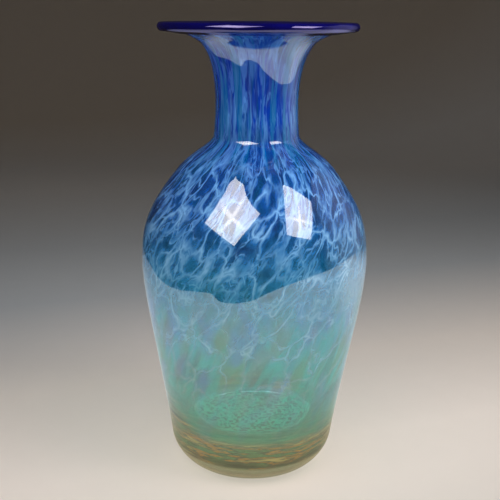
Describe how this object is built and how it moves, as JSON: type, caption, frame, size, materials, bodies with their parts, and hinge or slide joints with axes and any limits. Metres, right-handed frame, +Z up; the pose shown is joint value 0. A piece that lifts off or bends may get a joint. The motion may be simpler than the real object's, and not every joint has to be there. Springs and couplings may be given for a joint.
{
  "type": "glass vase",
  "caption": "Blown glass vase with a wide dished lip, a slim neck and a tapering body on a heavy rounded base.",
  "frame": {"origin": "centre of the foot, on the surface the vase stands on", "axes": "+Z up along the axis of the vase; the vase is round, so X and Y are alike"},
  "size_m": [0.1814, 0.1814, 0.36],
  "materials": {
    "clear_glass": "fire polished, clear with a faint aqua cast",
    "olive_glass": "crushed colour melted in, olive and sea green with amber streaks and fine dark specks",
    "teal_glass": "crushed colour melted in, teal cells outlined by a paler blue web",
    "blue_glass": "crushed colour melted in, royal blue drawn into pale streaks up the neck",
    "cobalt_glass": "fire polished, deep cobalt"
  },
  "bodies": {
    "root": {"clear_casing": "clear_glass", "inner_bubble": "clear_glass", "olive_base_coat": "olive_glass", "teal_body_coat": "teal_glass", "blue_shoulder_coat": "blue_glass", "lip_wrap": "cobalt_glass"}
  },
  "joints": []
}
